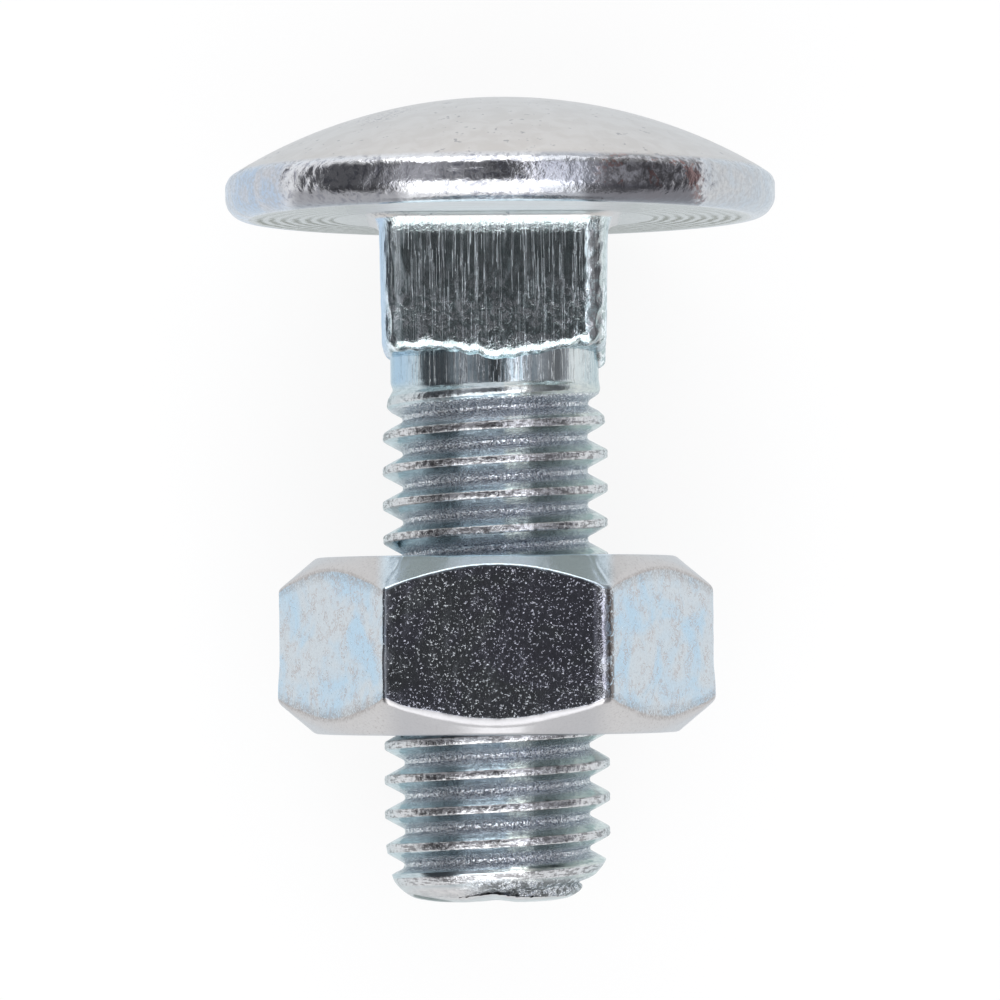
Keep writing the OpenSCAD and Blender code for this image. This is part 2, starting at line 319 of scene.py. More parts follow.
# The square neck: drawn, so its noise hardly changes along Z. Lower down the lines fade and it is pitted.
# Its left edge is painted a stronger blue, a painted reflection in the plating's tint; a strip near its
# right edge is stained, and it is rough at its lower edge and under the head.
def neckZone(wire, at, x, z, patch, fine, mottle):
    drawn = wire.noise(at, 12.0, 2.0, stretch=(1, 1, 0.012), rough=0.6)
    sunk = (-z + 1.6 * (patch - 0.5)).step(2.0, 4.2)
    colour = wire.mix(drawn.step(0.4, 0.6) * (1 - 0.6 * sunk), (0.45, 0.54, 0.55), (0.72, 0.80, 0.81))
    colour = wire.mix(mottle.step(0.44, 0.60) * (0.3 + 0.7 * sunk), colour, (0.90, 0.97, 1.0))
    # painted reflection: the left edge is painted a stronger blue
    colour = wire.mix((-x).step(4.3, 4.9), colour, (0.48, 0.62, 0.78))
    stained = x.band(4.0, 4.2, 4.5, 4.7) * mottle.step(0.40, 0.54)
    colour = wire.mix(stained * 0.7, colour, (0.26, 0.25, 0.25))
    lines = drawn.step(0.56, 0.61) * (1 - 0.85 * sunk)
    relief = 0.003 * drawn + 0.0055 * lines + (0.002 + 0.004 * sunk) * fine + 0.020 * mottle * sunk
    relief = relief + fine * (0.02 * (-z).step(5.2, 5.8) + 0.03 * (z + 1.05).step(0.0, 0.4))
    return colour, relief


# Zinc on the head: the cup's colour and relief, and over them each zone's own where its mask is 1.
def headZinc():
    material, wire = newMaterial("headZinc")
    at = uprightPlace(wire)
    x, y, z = at.parts()
    rim, under, neckSide = wire.masks("rim", "under", "neck")
    patch = wire.noise(at, 1.1, 3.0, warp=0.5)
    fine = wire.noise(at, 6.0, 3.0, rough=0.6)
    mottle = wire.noise(at, 3.2, 3.0, rough=0.65, warp=0.4)
    frontSide = (-y).step(2.0, 5.0)
    centre = (1 - abs(x).step(4.0, 7.0)) * frontSide
    cupColour, cupRelief = cupZone(wire, at, x, y, patch, fine)
    rimColour, rimRelief = rimZone(wire, x, z, frontSide, patch, fine, mottle)
    underColour, underRelief, strokes = underZone(wire, x, y, centre, patch, fine)
    neckColour, neckRelief = neckZone(wire, at, x, z, patch, fine, mottle)
    colour = wire.mix(under, wire.mix(rim, cupColour, rimColour), underColour)
    colour = wire.mix(neckSide, colour, neckColour)
    rough = 0.36 - 0.19 * rim - under * (0.14 - 0.38 * centre) - 0.21 * neckSide + 0.08 * (patch - 0.5)
    rough = rough + 0.4 * strokes * under
    relief = cupRelief * (1 - rim) * (1 - under) * (1 - neckSide) + rimRelief * rim + underRelief * under
    relief = relief + neckRelief * neckSide
    finishZinc(wire, colour, rough, relief, plateTint, 1 - 0.5 * strokes * under)
    return material


# Zinc on the thread. Crests are dark in worn patches, where a sum of two noises passes a threshold;
# flanks are smooth and teal, painted lighter and greener on the right, with painted highlights and painted
# shade in light and dark columns on X; roots are painted with light and dark fine specks, a painted
# sparkle;
# and the plain shank has streaks along Z, with painted reflections at its sides, blue on the left and
# lighter on the right. A thin crack, a band round a sloping line, runs down to the end.
def threadZinc():
    material, wire = newMaterial("threadZinc")
    at = uprightPlace(wire)
    x, y, z = at.parts()
    crest, root, shank, lip, lobe = wire.masks("crest", "root", "shank", "lip", "lobe")
    patch = wire.noise(at, 0.8, 3.0, warp=0.6)
    fine = wire.noise(at, 6.5, 3.0, rough=0.65)
    speck = wire.noise(at, 13.0, 2.0, rough=0.7)
    streak = wire.noise(at, 8.0, 2.0, stretch=(1, 1, 0.05), rough=0.65)
    rolled = wire.noise(at, 1.7, 3.0, stretch=(1, 1, 7), rough=0.7)
    mottle = wire.noise(at, 3.0, 3.0, rough=0.65, warp=0.4)
    # painted reflection: the teal is lighter and greener right of the middle
    colour = wire.mix((x + 1.2 * (patch - 0.5)).step(0.0, 1.2), (0.57, 0.66, 0.70), (0.66, 0.71, 0.685))
    # painted highlights and painted shade: columns of light and dark down the front
    wavy = x + 0.5 * (mottle - 0.5)
    colour = wire.mix(wavy.band(-1.9, -1.2, 0.2, 0.6) * 0.65, colour, (0.82, 0.91, 0.96))
    colour = wire.mix(wavy.band(0.3, 0.6, 1.3, 1.7) * 0.9, colour, (0.96, 1.0, 0.95))
    colour = wire.mix(wavy.band(-3.4, -2.9, -1.9, -1.3) * 0.75, colour, (0.29, 0.37, 0.40))
    colour = wire.mix(wavy.band(1.4, 1.8, 3.1, 3.7) * 0.75, colour, (0.32, 0.38, 0.365))
    colour = wire.mix(rolled.step(0.42, 0.62) * 0.55, colour, (0.34, 0.40, 0.43))
    worn = (0.45 * mottle + 0.55 * rolled).step(0.44, 0.51)
    worn = wire.mix(worn, (0.30, 0.30, 0.31), (0.68, 0.69, 0.71))
    colour = wire.mix(crest, colour, worn)
    # painted sparkle: the roots are painted in light and dark fine specks
    rootPaintedSparkle = wire.mix(speck.step(0.42, 0.55), (0.32, 0.35, 0.41), (0.86, 0.89, 0.92))
    colour = wire.mix(root, colour, rootPaintedSparkle)
    colour = wire.mix(lobe * mottle.step(0.42, 0.56), colour, (0.17, 0.18, 0.185))
    plain = wire.mix(streak.step(0.4, 0.6), (0.46, 0.56, 0.60), (0.64, 0.70, 0.72))
    plain = wire.mix(mottle.step(0.5, 0.62) * 0.4, plain, (0.30, 0.36, 0.40))
    # painted reflections: the shank's left side is painted blue, and a band on its right lighter
    plain = wire.mix((-x).step(2.9, 4.4), plain, (0.40, 0.56, 0.72))
    plain = wire.mix(x.band(1.4, 2.6, 3.6, 4.2) * 0.6, plain, (0.74, 0.78, 0.78))
    colour = wire.mix(shank, colour, plain)
    colour = wire.mix(lip, colour, wire.mix(mottle.step(0.4, 0.6), (0.60, 0.59, 0.60), (0.66, 0.65, 0.655)))
    crack = abs(z + 29.53 + (x + 3.7) * 0.16)
    crack = (1 - crack.step(0.03, 0.10)) * x.band(-3.75, -3.6, -2.2, -1.8) * (-y).step(0.5, 1.0)
    colour = wire.mix(crack * 0.9, colour, (0.06, 0.09, 0.08))
    rough = 0.14 + 0.04 * crest + 0.04 * root + 0.12 * lip * (1 - x.step(-0.4, 0.2)) + 0.08 * (patch - 0.5)
    pits = fine.step(0.50, 0.60)
    relief = (0.002 + 0.010 * crest + 0.042 * root) * fine + (0.004 * crest + 0.026 * root) * pits
    relief = relief + 0.010 * rolled * (1 - shank) + 0.008 * mottle * crest
    lines = 0.006 * streak + 0.006 * streak.step(0.55, 0.62) + 0.006 * mottle
    relief = relief + shank * lines - 0.05 * crack
    finishZinc(wire, colour, rough, relief, (0.80, 0.88, 0.90))
    return material


# Zinc on the nut. The flats have an orange peel, gentle noise, with small steep pits where finer noise
# passes a threshold, and brown veins where noise is near a half. The chamfers and faces are turned and
# plainer.
def nutZinc():
    material, wire = newMaterial("nutZinc")
    at = uprightPlace(wire)
    x, _, z = at.parts()
    flat, chamfer, border = wire.masks("flat", "chamfer", "border")
    side = abs(x)
    aside = side.step(4.55, 4.85)
    # the worn right edge of the flat in front
    worn = x.band(4.1, 4.4, 4.95, 5.05) * flat
    peel = wire.noise(at, 1.6, 2.0)
    hue = wire.noise(at, 0.42, 3.0, rough=0.6, warp=0.6)
    fine = wire.noise(at, 10.0, 2.0, rough=0.65)
    mottle = wire.noise(at, 2.6, 3.0, rough=0.6, warp=1.8)
    pit = wire.noise(at, 11.0, 2.0, rough=0.65).step(0.62, 0.73) * (0.25 + 0.75 * mottle.step(0.44, 0.56))
    blue = wire.mix(hue.step(0.40, 0.66), (0.625, 0.68, 0.72), (0.50, 0.67, 0.81))
    # painted shade: the flat in front is a darker, duller copy of the blue zinc on the side flats
    shadedFrontZinc = wire.mix(hue.step(0.40, 0.60), (0.56, 0.60, 0.63), (0.56, 0.575, 0.68))
    blue = wire.mix(aside, shadedFrontZinc, blue)
    vein = (1 - abs(mottle - 0.5).step(0.015, 0.06)) * aside * peel.step(0.48, 0.58)
    blue = wire.mix(vein * 0.6, blue, (0.46, 0.39, 0.37))
    blue = wire.mix(pit * 0.35, blue, (0.95, 0.97, 1.0))
    turned = wire.mix(fine.step(0.58, 0.70) * chamfer * 0.5, (0.62, 0.605, 0.60), (0.40, 0.36, 0.34))
    # the middle of the upper chamfer is painted blue, a painted reflection of the thread above it, and that
    # of the lower one darker, painted shade
    upper = (1 - side.step(4.6, 5.2)) * (z + 17.5).step(0.0, 1.0)
    turned = wire.mix(upper * 0.8, turned, (0.65, 0.78, 0.87))
    lower = (1 - side.step(3.8, 5.2)) * (-z - 20.0).step(0.0, 1.0)
    turned = wire.mix(lower * 0.8, turned, (0.47, 0.47, 0.49))
    colour = wire.mix(flat, turned, blue)
    # grime along the edges of the flats, and a fine grain
    grime = border * aside * (0.25 + 0.6 * fine.step(0.40, 0.56))
    colour = wire.mix(grime * 0.65, colour, (0.28, 0.24, 0.22))
    chipped = worn * (0.3 + 0.7 * x.step(4.6, 4.8)) * mottle.step(0.40, 0.52)
    colour = wire.mix(chipped, colour, (0.20, 0.18, 0.17))
    colour = wire.mix(fine.step(0.35, 0.65) * 0.16, colour, (0.36, 0.36, 0.38))
    rough = 0.30 - 0.18 * flat - 0.12 * upper * (1 - flat) + 0.06 * (mottle - 0.5)
    relief = 0.006 * peel + 0.0025 * fine + (0.012 * pit + 0.003 * mottle) * flat
    relief = relief + worn * (0.010 * fine + 0.016 * mottle)
    finishZinc(wire, colour, rough, relief, plateTint)
    return material


# The bolt's head and square neck
head = dict(diameter=24.1, height=5.299, rimHeight=1.75, topRound=0.6, bottomRound=0.95, shift=0.3,
            cupRows=43, topRows=8, sideRows=6, bottomRows=15, underRows=21,
            dentDrop=0.022, dentShrink=0.0011)
neck = dict(width=9.94, endWidth=9.72, length=6.0, cornerRadius=1.05, fillet=0.6, edge=0.46,
            columns=352, cornerShare=0.36, filletRows=8, sideRows=43, edgeRows=6,
            cornerDent=0.016, edgeSwell=0.022, faceWave=0.008, growLimit=0.03, edgeRag=0.022,
            endShares=(0.93, 0.88, 0.6, 0.0))
# The neck's ragged lower edge: how far it hangs below the neck's length, at angles in degrees round the
# axis. The long drop near 0 is a burr.
hang = dict(turn=(-150, -133, -118, -108, -99, -91, -80, -73, -62, -52, -40,
                  -24, -13, -9, -4, 1, 6, 10, 20, 60, 100, 150),
            drop=(0.05, 0.0, -0.05, 0.04, 0.20, 0.37, 0.33, 0.20, 0.04, -0.22, -0.26,
                  -0.15, -0.1, 0.2, 0.55, 0.62, 0.4, 0.0, 0.0, 0.08, -0.05, 0.05))


# A rounded square: each quarter is a corner arc and then the flat that follows it.
def neckOutline(half, cornerRadius):
    part = np.arange(neck["columns"]) / neck["columns"] * 4
    side, v = np.floor(part), part % 1
    share = neck["cornerShare"]
    start = side * math.pi / 2
    arc = start + np.clip(v / share, 0, 1) * math.pi / 2
    along = np.clip((v - share) / (1 - share), 0, 1)
    q = half - cornerRadius
    x = np.cos(start) * q - np.sin(start) * q + cornerRadius * np.cos(arc)
    y = np.sin(start) * q + np.cos(start) * q + cornerRadius * np.sin(arc)
    return np.stack([x - along * 2 * q * np.cos(start), y - along * 2 * q * np.sin(start)], -1)


# The head is a cup on a rounded rim, round its own axis. From the flat underside each ring goes over into
# the neck's rounded square by a straight blend of the two outlines, and the neck goes down with its
# draft.
def headGrids():
    radius, rise = head["diameter"] / 2, head["height"] - head["rimHeight"]
    domeRadius = (radius ** 2 + rise ** 2) / (2 * rise)
    domeZ = head["height"] - domeRadius
    topX = radius - head["topRound"]
    topZ = domeZ + math.sqrt((domeRadius - head["topRound"]) ** 2 - topX ** 2)
    topAngle = math.atan2(topZ - domeZ, topX)
    tangentX = topX + head["topRound"] * math.cos(topAngle)
    bottomX = radius - head["bottomRound"]

    # the section from the pole down to the underside's edge
    r = [np.linspace(0, tangentX, head["cupRows"] + 1)[:-1]]
    z = [domeZ + np.sqrt(domeRadius ** 2 - r[0] ** 2)]
    arc = np.linspace(topAngle, 0, head["topRows"] + 1)[:-1]
    r.append(topX + head["topRound"] * np.cos(arc))
    z.append(topZ + head["topRound"] * np.sin(arc))
    r.append(np.full(head["sideRows"], radius))
    z.append(np.linspace(topZ, head["bottomRound"], head["sideRows"] + 1)[:-1])
    arc = np.linspace(0, -math.pi / 2, head["bottomRows"])
    r.append(bottomX + head["bottomRound"] * np.cos(arc))
    z.append(head["bottomRound"] + head["bottomRound"] * np.sin(arc))
    r, z = np.concatenate(r), np.concatenate(z)
    zone = (np.arange(len(r)) >= head["cupRows"]) * 1.0

    columns = neck["columns"]
    flare = neckOutline(neck["width"] / 2 + neck["fillet"], neck["cornerRadius"] + neck["fillet"])
    angle = np.arctan2(flare[:, 1], flare[:, 0])
    outward = np.stack([np.cos(angle), np.sin(angle)], -1)
    cup = np.zeros((len(r), columns, 3))
    cup[..., :2] = r[:, None, None] * outward
    # shallow dents pull the rim in, and its upper part down
    dent = np.abs(ripple(angle, z[:, None], 3, waves=24, around=(6, 120), along=(0.5, 6.0)))
    cup[..., 2] = z[:, None] - dent * head["dentDrop"] * (zone * (z > 1.2))[:, None]
    cup[..., :2] *= 1 - head["dentShrink"] * dent[..., None] * (zone * (z > 0.3))[:, None, None]
    cup[..., 0] += head["shift"]

    t = np.linspace(0, 1, head["underRows"] + 1)[1:, None, None]
    under = np.zeros((head["underRows"], columns, 3))
    under[..., :2] = cup[-1, :, :2] * (1 - t) + flare * t

    def ring(height, out, radiusOut):
        half = (neck["width"] + (neck["endWidth"] - neck["width"]) * -height / neck["length"]) / 2
        outline = neckOutline(half + out, neck["cornerRadius"] + radiusOut)
        return np.concatenate([outline, np.full((columns, 1), height)], 1)

    rings = []
    for a in np.radians(np.linspace(90, 0, neck["filletRows"] + 1)[1:]):
        out = neck["fillet"] * (1 - math.cos(a))
        rings.append(ring(-neck["fillet"] * (1 - math.sin(a)), out, out))
    for h in np.linspace(-neck["fillet"], neck["edge"] - neck["length"], neck["sideRows"] + 1)[1:]:
        rings.append(ring(h, 0, 0))
    for a in np.radians(np.linspace(90, 0, neck["edgeRows"] + 1)[1:]):
        inset = neck["edge"] * (1 - math.sin(a))
        rings.append(ring(-neck["length"] + neck["edge"] * (1 - math.cos(a)), -inset, -inset))
    side = np.stack(rings)
    turn = np.arctan2(side[..., 1], side[..., 0])
    height = side[..., 2]
    low = smooth(-3.6, -5.9, height)
    corner = smooth(0.90, 0.99, np.abs(np.sin(2 * turn)))
    drop = np.interp(np.degrees(turn), hang["turn"], hang["drop"], period=360)
    rag = ripple(turn, height, 5, waves=30, around=(12, 64), along=(0.3, 4.0))
    # the radial change: dented corners, a rough lower edge and an uneven face
    grow = neck["edgeSwell"] * smooth(-5.3, -5.9, height) * rag - neck["cornerDent"] * corner * np.abs(rag)
    grow = grow - neck["faceWave"] * np.abs(ripple(turn, height, 6, waves=20))
    grow = np.minimum(grow, neck["growLimit"]) * smooth(-0.2, -0.8, height)
    side[..., :2] *= 1 + (grow / np.hypot(side[..., 0], side[..., 1]))[..., None]
    side[..., 2] -= low * (drop + neck["edgeRag"] * rag)
    end = [side[-1] * np.array([share, share, 1]) for share in neck["endShares"]]
    points = np.concatenate([cup, under, side, np.stack(end)])[::-1]
    row = np.arange(len(points))[::-1, None]
    neckTop = len(r) + head["underRows"]
    masks = dict(rim=(row >= head["cupRows"]) & (row < len(r)),
                 under=(row >= len(r)) & (row < neckTop),
                 neck=row >= neckTop + neck["filletRows"] // 2)
    return [dict(points=points, masks={key: value * 1.0 for key, value in masks.items()}, shift=0)]


addPiece("bolt_head", headGrids(), headZinc(), "bolt", "bolt")

# The bolt's shank and rolled thread
thread = dict(shankRadius=4.565, shankEnd=-7.0, crestRun=2.6, rootRun=1.3, pitch=1.5, firstCrest=-7.3,
              end=-29.8, tipLength=3.0, tipRadius=2.8, hollowRadius=1.9, hollowDepth=0.35,
              top=-5.5, columns=300, tipShift=0.26, notch=0.2, notchWidth=0.24, notchShrink=0.05,
              footLift=0.25, bulge=0.11, bulgeWidth=0.26, chip=0.012, unevenness=0.008,
              endGroove=0.24, endGrooveWidth=0.2, lipEdges=(2.05, 2.25), capShares=(1, 0.6, 0),
              dishRows=16, tipSlope=6.0)
# Half profile of the thread: radius against distance from the crest's middle
thread["distance"] = (0.0, 0.1, 0.165, 0.2, 0.25, 0.38, 0.5, 0.59, 0.65, 0.75)
thread["radius"] = (4.922, 4.935, 4.905, 4.86, 4.775, 4.54, 4.31, 4.14, 4.07, 4.05)
thread["crestRadius"] = max(thread["radius"])
# The rounded end's first rows, by their height above the end
tipLifts = np.array([0, 0.012, 0.035, 0.07, 0.12, 0.18, 0.25])


# Heights of the rows of a helical grid at angle 0, from low to high, and each row's distance from its
# crest. Each turn has the same number of rows, so the last column's row k meets the first column's row k
# plus that number.
def helixRows(low, high):
    half = np.array(thread["distance"])
    offset = np.concatenate([-half[:0:-1][1:], half])
    pitch = thread["pitch"]
    turns = np.arange(math.floor((low - thread["firstCrest"]) / pitch) - 2,
                      math.ceil((high - thread["firstCrest"]) / pitch) + 2)
    rows = (thread["firstCrest"] + pitch * turns[:, None] + offset).reshape(-1)
    return rows, np.tile(np.abs(offset), len(turns)), len(offset)


# The rounded end: a quarter ellipse from the tip's radius out to the crests'.
def tipRadius(height):
    t = np.clip((height - thread["end"]) / thread["tipLength"], 0, 1)
    return thread["tipRadius"] + (thread["crestRadius"] - thread["tipRadius"]) * np.sqrt(1 - (1 - t) ** 2)


# The end is rolled a little off centre, and its lip has a notch in front, between two lobes.
def endShape(points):
    above = points[..., 2] - thread["end"]
    turn = np.arctan2(points[..., 1], points[..., 0])
    fade = smooth(1.8, 0.7, above)
    far = smooth(1.2, 3.0, np.hypot(points[..., 0], points[..., 1]))
    gap = np.exp(-((turn + math.pi / 2) / thread["notchWidth"]) ** 2) * smooth(0.7, 0.0, above) * far
    out = points.copy()
    out[..., 0] -= thread["tipShift"] * fade * far
    out[..., :2] *= 1 - thread["notchShrink"] * gap[..., None]
    out[..., 2] += thread["notch"] * gap
    return out


# The radius at a row and column is the profile's at the row's phase, grown out of the plain shank and cut
# by the quarter ellipse of the end. Rows past either end are clamped to the end ring, where they merge.
def threadGrids():
    angle = np.arange(thread["columns"]) / thread["columns"] * 2 * math.pi
    foot = thread["end"] + thread["footLift"]
    base, distance, shift = helixRows(foot, thread["top"])
    height = np.clip(base[:, None] + thread["pitch"] * angle / (2 * math.pi), foot, thread["top"])
    profile = np.interp(distance, thread["distance"], thread["radius"])[:, None]
    crestness = smooth(4.4, 4.8, profile)
    deep = thread["shankEnd"] - height
    crestGrown, rootGrown = np.clip(deep / thread["crestRun"], 0, 1), smooth(0.1, thread["rootRun"], deep)
    grown = crestness * crestGrown + (1 - crestness) * rootGrown
    radius = thread["shankRadius"] + grown * (profile - thread["shankRadius"])
    facing = smooth(0.2, 0.9, -np.sin(angle))
    # the first crest is pushed up into a bulge on one side
    bulge = np.exp(-(distance[:, None] / thread["bulgeWidth"]) ** 2) * facing
    radius = radius + thread["bulge"] * bulge * smooth(0.1, 0.5, deep) * smooth(1.5, 1.1, deep)
    chip = ripple(angle, height, 11, waves=44, around=(12, 150), along=(0.5, 14.0))
    slow = ripple(angle, height, 12, waves=16, around=(2, 14), along=(0.2, 2.0))
    rough = smooth(4.5, 4.85, profile) + 1.2 * smooth(4.3, 4.1, profile)
    uneven = thread["chip"] * np.abs(chip) * rough + thread["unevenness"] * slow * crestness
    radius = radius - uneven * smooth(0.2, 1.0, deep)
    radius = np.minimum(radius, tipRadius(height))
    # the last groove runs on across the rounded end, and fades out at the notch
    turn = np.degrees((angle + math.pi) % (2 * math.pi) - math.pi)
    near = smooth(-114, -86, turn) * smooth(35, 5, turn)
    above = height - thread["end"]
    groove = np.exp(-((thread["pitch"] / 2 - distance[:, None]) / thread["endGrooveWidth"]) ** 2)
    radius = radius - thread["endGroove"] * groove * smooth(1.4, 0.9, above) * near
    points = np.stack([radius * np.cos(angle), radius * np.sin(angle), height], -1)
    points = endShape(points)
    firstGroove = smooth(4.8, 4.5, profile) * smooth(0.5, 0.75, deep) * smooth(2.2, 1.8, deep)
    lobe = near * smooth(1.15, 0.85, above)
    root = smooth(4.48, 4.24, profile) * smooth(0.3, 1.2, deep)
    masks = dict(crest=smooth(4.84, 4.9, profile) * smooth(0.2, 1.5, deep) * (1 - lobe),
                 root=np.maximum(np.maximum(root, firstGroove), lobe),
                 shank=smooth(0.6, 0.1, deep), lip=smooth(1.0, 0.5, above) * (1 - near), lobe=lobe)
    main = dict(points=points, masks=masks, shift=shift)

    # the end face with its dish, out to the lip, and the cap inside the neck
    cone = thread["tipRadius"] + thread["tipSlope"] * tipLifts
    blunt = np.minimum(tipRadius(thread["end"] + tipLifts), cone)
    hollow = thread["hollowRadius"]
    ballRadius = (hollow ** 2 + thread["hollowDepth"] ** 2) / (2 * thread["hollowDepth"])
    inner = np.linspace(0, hollow, thread["dishRows"])
    dish = thread["hollowDepth"] - ballRadius + np.sqrt(ballRadius ** 2 - inner ** 2)
    ringR = np.concatenate([inner, thread["lipEdges"], blunt])[:, None]
    ringZ = thread["end"] + np.concatenate([dish, [0, 0], tipLifts])[:, None]
    tip = endShape(np.stack([ringR * np.cos(angle), ringR * np.sin(angle), ringZ + 0 * angle], -1))
    capR = np.array(thread["capShares"])[:, None] * thread["shankRadius"]
    cap = np.stack([capR * np.cos(angle), capR * np.sin(angle), thread["top"] + 0 * capR * angle], -1)
    none = dict(crest=0.0, root=0.0, shank=0.0, lobe=0.0)
    return [dict(points=tip, masks=dict(none, lip=1.0), shift=0), main,
            dict(points=cap, masks=dict(none, lip=0.0), shift=0)]


addPiece("bolt_thread", threadGrids(), threadZinc(), "bolt", "bolt")

# The nut
nut = dict(flats=16.65, height=7.7, edgeRadius=(0.6, 0.6, 0.6, 0.6, 0.28, 0.6), faceRadius=7.87,
           chamferAngle=40, sinkRadius=5.4, sinkAngle=60, grip=14.8, boreGap=0.055, minorRadius=4.25,
           faceBreak=0.14, columns=384, cornerShare=0.22, wave=0.022, dentShare=0.35, swell=0.08,
           faceRows=8, breakRows=3, chamferRows=8, edgeRows=8, flatRows=14)
# The rounded edge of the flats at either end: its width, how much narrower in front, the share it loses
# at the corners, and how much deeper the chamfer is in front
nut["upperEdge"], nut["lowerEdge"] = (0.30, 0.19, 0.5, 0.04), (0.40, 0.15, 0.4, 0.12)
# The border band of a flat: the rows before its edge, and its number of steps
nut["border"] = (3, 5)


# A rounded hexagon: each sixth is a corner arc and then the flat that follows it.
def nutOutline():
    part = np.arange(nut["columns"]) / nut["columns"] * 6
    side, v = np.floor(part), part % 1
    share, r = nut["cornerShare"], np.array(nut["edgeRadius"])
    centre = (nut["flats"] / 2 - r) / math.cos(math.pi / 6)
    this, after = side.astype(int), (side.astype(int) + 1) % 6
    start = side * math.pi / 3
    arc = start + (np.clip(v / share, 0, 1) - 0.5) * math.pi / 3
    along = np.clip((v - share) / (1 - share), 0, 1)
    move = [centre[after] * f(start + math.pi / 3) - centre[this] * f(start)
            + (r[after] - r[this]) * f(start + math.pi / 6) for f in (np.cos, np.sin)]
    x = centre[this] * np.cos(start) + r[this] * np.cos(arc) + along * move[0]
    y = centre[this] * np.sin(start) + r[this] * np.sin(arc) + along * move[1]
    return x, y


# A quadratic curve from one point to another by way of a corner, for each column.
def curveBy(a, corner, b, steps):
    t = np.linspace(0, 1, steps)[:, None, None]
    return (1 - t) ** 2 * a + 2 * t * (1 - t) * corner + t ** 2 * b


# Each column's half section goes from the countersink's edge out over the face, down the corner chamfer
# and down the flat to mid height; the lower half is its mirror. The bore carries the thread's own helix,
# widened by a gap.
def nutGrids():
    x, y = nutOutline()
    outline, angle = np.hypot(x, y), np.arctan2(y, x) % (2 * math.pi)
    slope = math.radians(nut["chamferAngle"])
    face = nut["faceRadius"]
    chamferDrop = (outline - face) * math.tan(slope)
    one = np.ones_like(outline)

    def pair(r, z):
        return np.stack([r * one, z * one], -1)

    def line(a, b, steps):
        t = np.linspace(0, 1, steps)[:, None, None]
        return a + (b - a) * t

    # in front the edges of the flats are sharper, and so they are towards the corners
    front = smooth(0.86, 0.92, -np.sin(angle))
    sharper = smooth(8.6, 9.4, outline)

    # half a section, from the countersink to mid height
    def half(width, frontLess, cornerLess, deeper):
        edge = (width - frontLess * front) * (1 - cornerLess * sharper)
        blunt, drop = nut["faceBreak"], chamferDrop + deeper * front * (1 - sharper)
        rimA, rimC = pair(face - blunt, 0), pair(face, 0)
        rimB = pair(face + blunt * math.cos(slope), -blunt * math.sin(slope))
        arcA = pair(outline - edge * math.cos(slope), edge * math.sin(slope) - drop)
        arcC, arcB = pair(outline, -drop), pair(outline, -drop - edge)
        return np.concatenate([
            line(pair(nut["sinkRadius"], 0), rimA, nut["faceRows"] + 1)[:-1],
            curveBy(rimA, rimC, rimB, nut["breakRows"] + 1)[:-1],
            line(rimB, arcA, nut["chamferRows"] + 1)[:-1],
            curveBy(arcA, arcC, arcB, nut["edgeRows"] + 1)[:-1],
            line(arcB, pair(outline, -nut["height"] / 2), nut["flatRows"])])

    upper, lower = half(*nut["upperEdge"]), half(*nut["lowerEdge"])
    chamferRows = nut["breakRows"] + nut["chamferRows"] + nut["edgeRows"]
    # what each row of the half section is: 0 face, 1 chamfer, 2 flat
    sort = np.repeat([0, 1, 2], [nut["faceRows"], chamferRows, nut["flatRows"]])
    before, steps = nut["border"]
    row = np.arange(len(sort)) - nut["faceRows"] - chamferRows
    band = np.sin(np.clip((row + before) / steps, 0, 1) * math.pi)
    whole = np.concatenate([upper, lower[-2::-1] * [1, -1] - [0, nut["height"]]])
    kind, band = (np.concatenate([a, a[-2::-1]])[::-1] for a in (sort, band))
    whole = whole[::-1]
    wave = ripple(angle, whole[..., 1], 21, waves=12, around=(2, 9), along=(0.2, 0.9))
    dent = ripple(angle, whole[..., 1], 22, waves=30, around=(10, 120), along=(0.3, 6.0))
    inward = nut["wave"] * (np.abs(wave) + nut["dentShare"] * np.abs(dent)) * (kind > 0)[:, None]
    # the corners at either side swell a little near the lower end
    swell = smooth(0.97, 1.0, np.abs(np.cos(angle))) * smooth(-4.4, -6.0, whole[..., 1])
    inward = inward - nut["swell"] * swell * (kind > 0)[:, None]
    radius, height = whole[..., 0] - inward, whole[..., 1] - nut["grip"]
    points = np.stack([radius * np.cos(angle), radius * np.sin(angle), height], -1)
    masks = dict(chamfer=(kind == 1) * 1.0, flat=(kind == 2) * 1.0, border=band)
    outer = dict(points=points, masks={key: value[:, None] for key, value in masks.items()}, shift=0)

    top, bottom = -nut["grip"], -nut["grip"] - nut["height"]
    base, distance, shift = helixRows(bottom, top)
    height = np.clip(base[:, None] + thread["pitch"] * angle / (2 * math.pi), bottom, top)
    radius = np.interp(distance, thread["distance"], thread["radius"]) + nut["boreGap"]
    depth = np.minimum(top - height, height - bottom)
    sunk = nut["sinkRadius"] - depth * math.tan(math.radians(nut["sinkAngle"]))
    radius = np.maximum(np.maximum(radius, nut["minorRadius"])[:, None], sunk)
    bore = np.stack([radius * np.cos(angle), radius * np.sin(angle), height], -1)
    plain = dict(chamfer=0.0, flat=0.0, border=0.0)
    return [outer, dict(points=bore, masks=plain, shift=shift, flip=True)]


addPiece("nut_body", nutGrids(), nutZinc(), "nut", "hex_nut")


# Floor, sky and lamps
studio = dict(floorHalf=1.5, floorGlow=0.87, floorColour=(0.9, 0.9, 0.9), farSky=0.42, boxLight=1.6,
              floorLight=0.6, boxDistance=600.0, skyTint=(0.98, 0.98, 1.05))


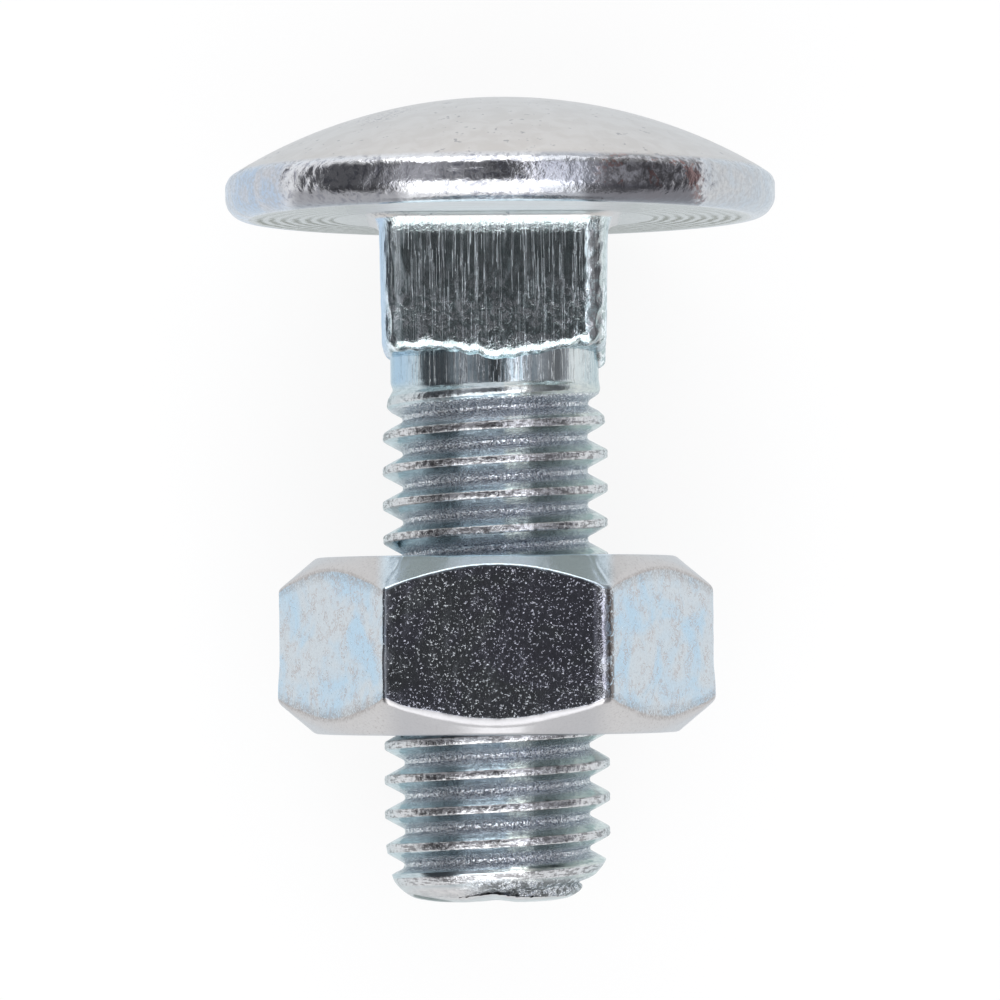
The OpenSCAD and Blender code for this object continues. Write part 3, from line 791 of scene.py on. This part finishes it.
def makeFloor():
    half, count = studio["floorHalf"], 9
    x, y = np.meshgrid(np.linspace(-half, half, count), np.linspace(-half, half, count))
    row, column = np.meshgrid(np.arange(count - 1), np.arange(count - 1), indexing="ij")
    a = (row * count + column).ravel()
    mesh = bpy.data.meshes.new("floor")
    mesh.from_pydata(np.stack([x, y, 0 * x], -1).reshape(-1, 3).tolist(), [],
                     np.stack([a, a + 1, a + count + 1, a + count], 1).tolist())
    material, wire = newMaterial("floorPaper")
    sees = wire.add("ShaderNodeLightPath", output="Is Camera Ray")
    shines = wire.add("ShaderNodeLightPath", output="Is Glossy Ray")
    seen = wire.maths("MAXIMUM", sees, shines) * studio["floorGlow"]
    paper = wire.add("ShaderNodeBsdfDiffuse", {}, {"Color": (*studio["floorColour"], 1)})
    glow = wire.add("ShaderNodeEmission", {}, {"Color": (1, 1, 1, 1), "Strength": 1.0})
    mixed = wire.add("ShaderNodeMixShader", {}, {0: seen, 1: paper, 2: glow})
    wire.add("ShaderNodeOutputMaterial", {}, {"Surface": mixed})
    mesh.materials.append(material)
    floor = bpy.data.objects.new("floor", mesh)
    bpy.context.collection.objects.link(floor)


# The sky's light against the angle, in degrees, to the right of the camera's side
skyStops = ((-95, 0.6), (-88, 0.10), (-55, 0.09), (-45, 0.28), (-38, 0.42), (-31, 0.40), (-24, 0.28),
            (-14, 0.22), (-6, 0.15), (-2.5, 0.045), (0, 0.03), (3, 0.045), (9, 0.08), (15, 0.5), (18, 1.6),
            (29, 1.6), (33, 0.5), (42, 0.34), (52, 0.45), (62, 0.24), (74, 0.15), (84, 0.3), (95, 0.8))


# Dark round the camera, with a bright strip on its right; overhead and towards the horizon it fades to an
# even grey, and the camera itself sees white.
def makeSky():
    world = bpy.data.worlds.new("studioSky")
    bpy.context.scene.world = world
    world.use_nodes = True
    world.node_tree.nodes.clear()
    wire = Wire(world.node_tree)
    direction = wire.add("ShaderNodeTexCoord", output="Generated")
    a = math.radians(rest["tilt"])

    def along(axis):
        return wire.add("ShaderNodeVectorMath", {"operation": "DOT_PRODUCT"},
                        {0: direction, 1: axis}, "Value")

    right = along((1, 0, 0))
    facing, up = along((0, -math.sin(a), math.cos(a))), along((0, math.cos(a), math.sin(a)))
    turn = wire.maths("ARCTAN2", right, facing) * (180 / math.pi)
    low, high = skyStops[0][0], skyStops[-1][0]
    level = wire.add("ShaderNodeValToRGB", {"stops": [
        ((angle - low) / (high - low), tuple(light * part for part in studio["skyTint"]))
        for angle, light in skyStops]}, {"Fac": (turn - low) / (high - low)}, "Color")
    steep = abs(up).step(0.55, 0.8)
    colour = wire.mix(steep, level, (studio["farSky"],) * 3)
    seen = wire.add("ShaderNodeLightPath", output="Is Camera Ray")
    colour = wire.mix(seen, colour, (1, 1, 1))
    back = wire.add("ShaderNodeBackground", {}, {"Color": colour, "Strength": 1.0})
    wire.add("ShaderNodeOutputWorld", {}, {"Surface": back})


# A soft box. Its face looks at the bolt from an elevation towards the head; left, right, low and high are
# where its edges lie, as slopes away from that direction.
def addBox(name, elevation, edges, light, glossy=True):
    left, right, low, high = edges
    e, distance = math.radians(elevation), studio["boxDistance"]
    middle = ((left + right) / 2, (low + high) / 2)
    forward, up = np.array((0, -math.cos(e), math.sin(e))), np.array((0, math.sin(e), math.cos(e)))
    target = np.array((0, 0, -12.0))
    place = target + distance * (forward + up * middle[1] + np.array((middle[0], 0, 0)))
    width, height = (right - left) * distance * mm, (high - low) * distance * mm
    data = bpy.data.lights.new(name, "AREA")
    data.shape, data.size, data.size_y = "RECTANGLE", width, height
    data.energy = light * math.pi * width * height
    lamp = bpy.data.objects.new(name, data)
    bpy.context.collection.objects.link(lamp)
    x, z = Vector((1, 0, 0)), Vector(laidDown(forward) - laidDown((0, 0, 0))).normalized()
    turn = Matrix((x, z.cross(x), z)).transposed().to_4x4()
    lamp.matrix_world = Matrix.Translation(Vector(laidDown(place))) @ turn
    lamp.visible_glossy = glossy


makeFloor()
makeSky()
addBox("tipBox", -25, (-0.85, 0.55, -1.3, 0.25), studio["boxLight"])
addBox("headBox", 72, (-0.6, 0.4, -0.4, 0.45), studio["boxLight"])
addBox("floorBox", 9.2, (-1, 1, -1, 1), studio["floorLight"], glossy=False)
print("studio made")
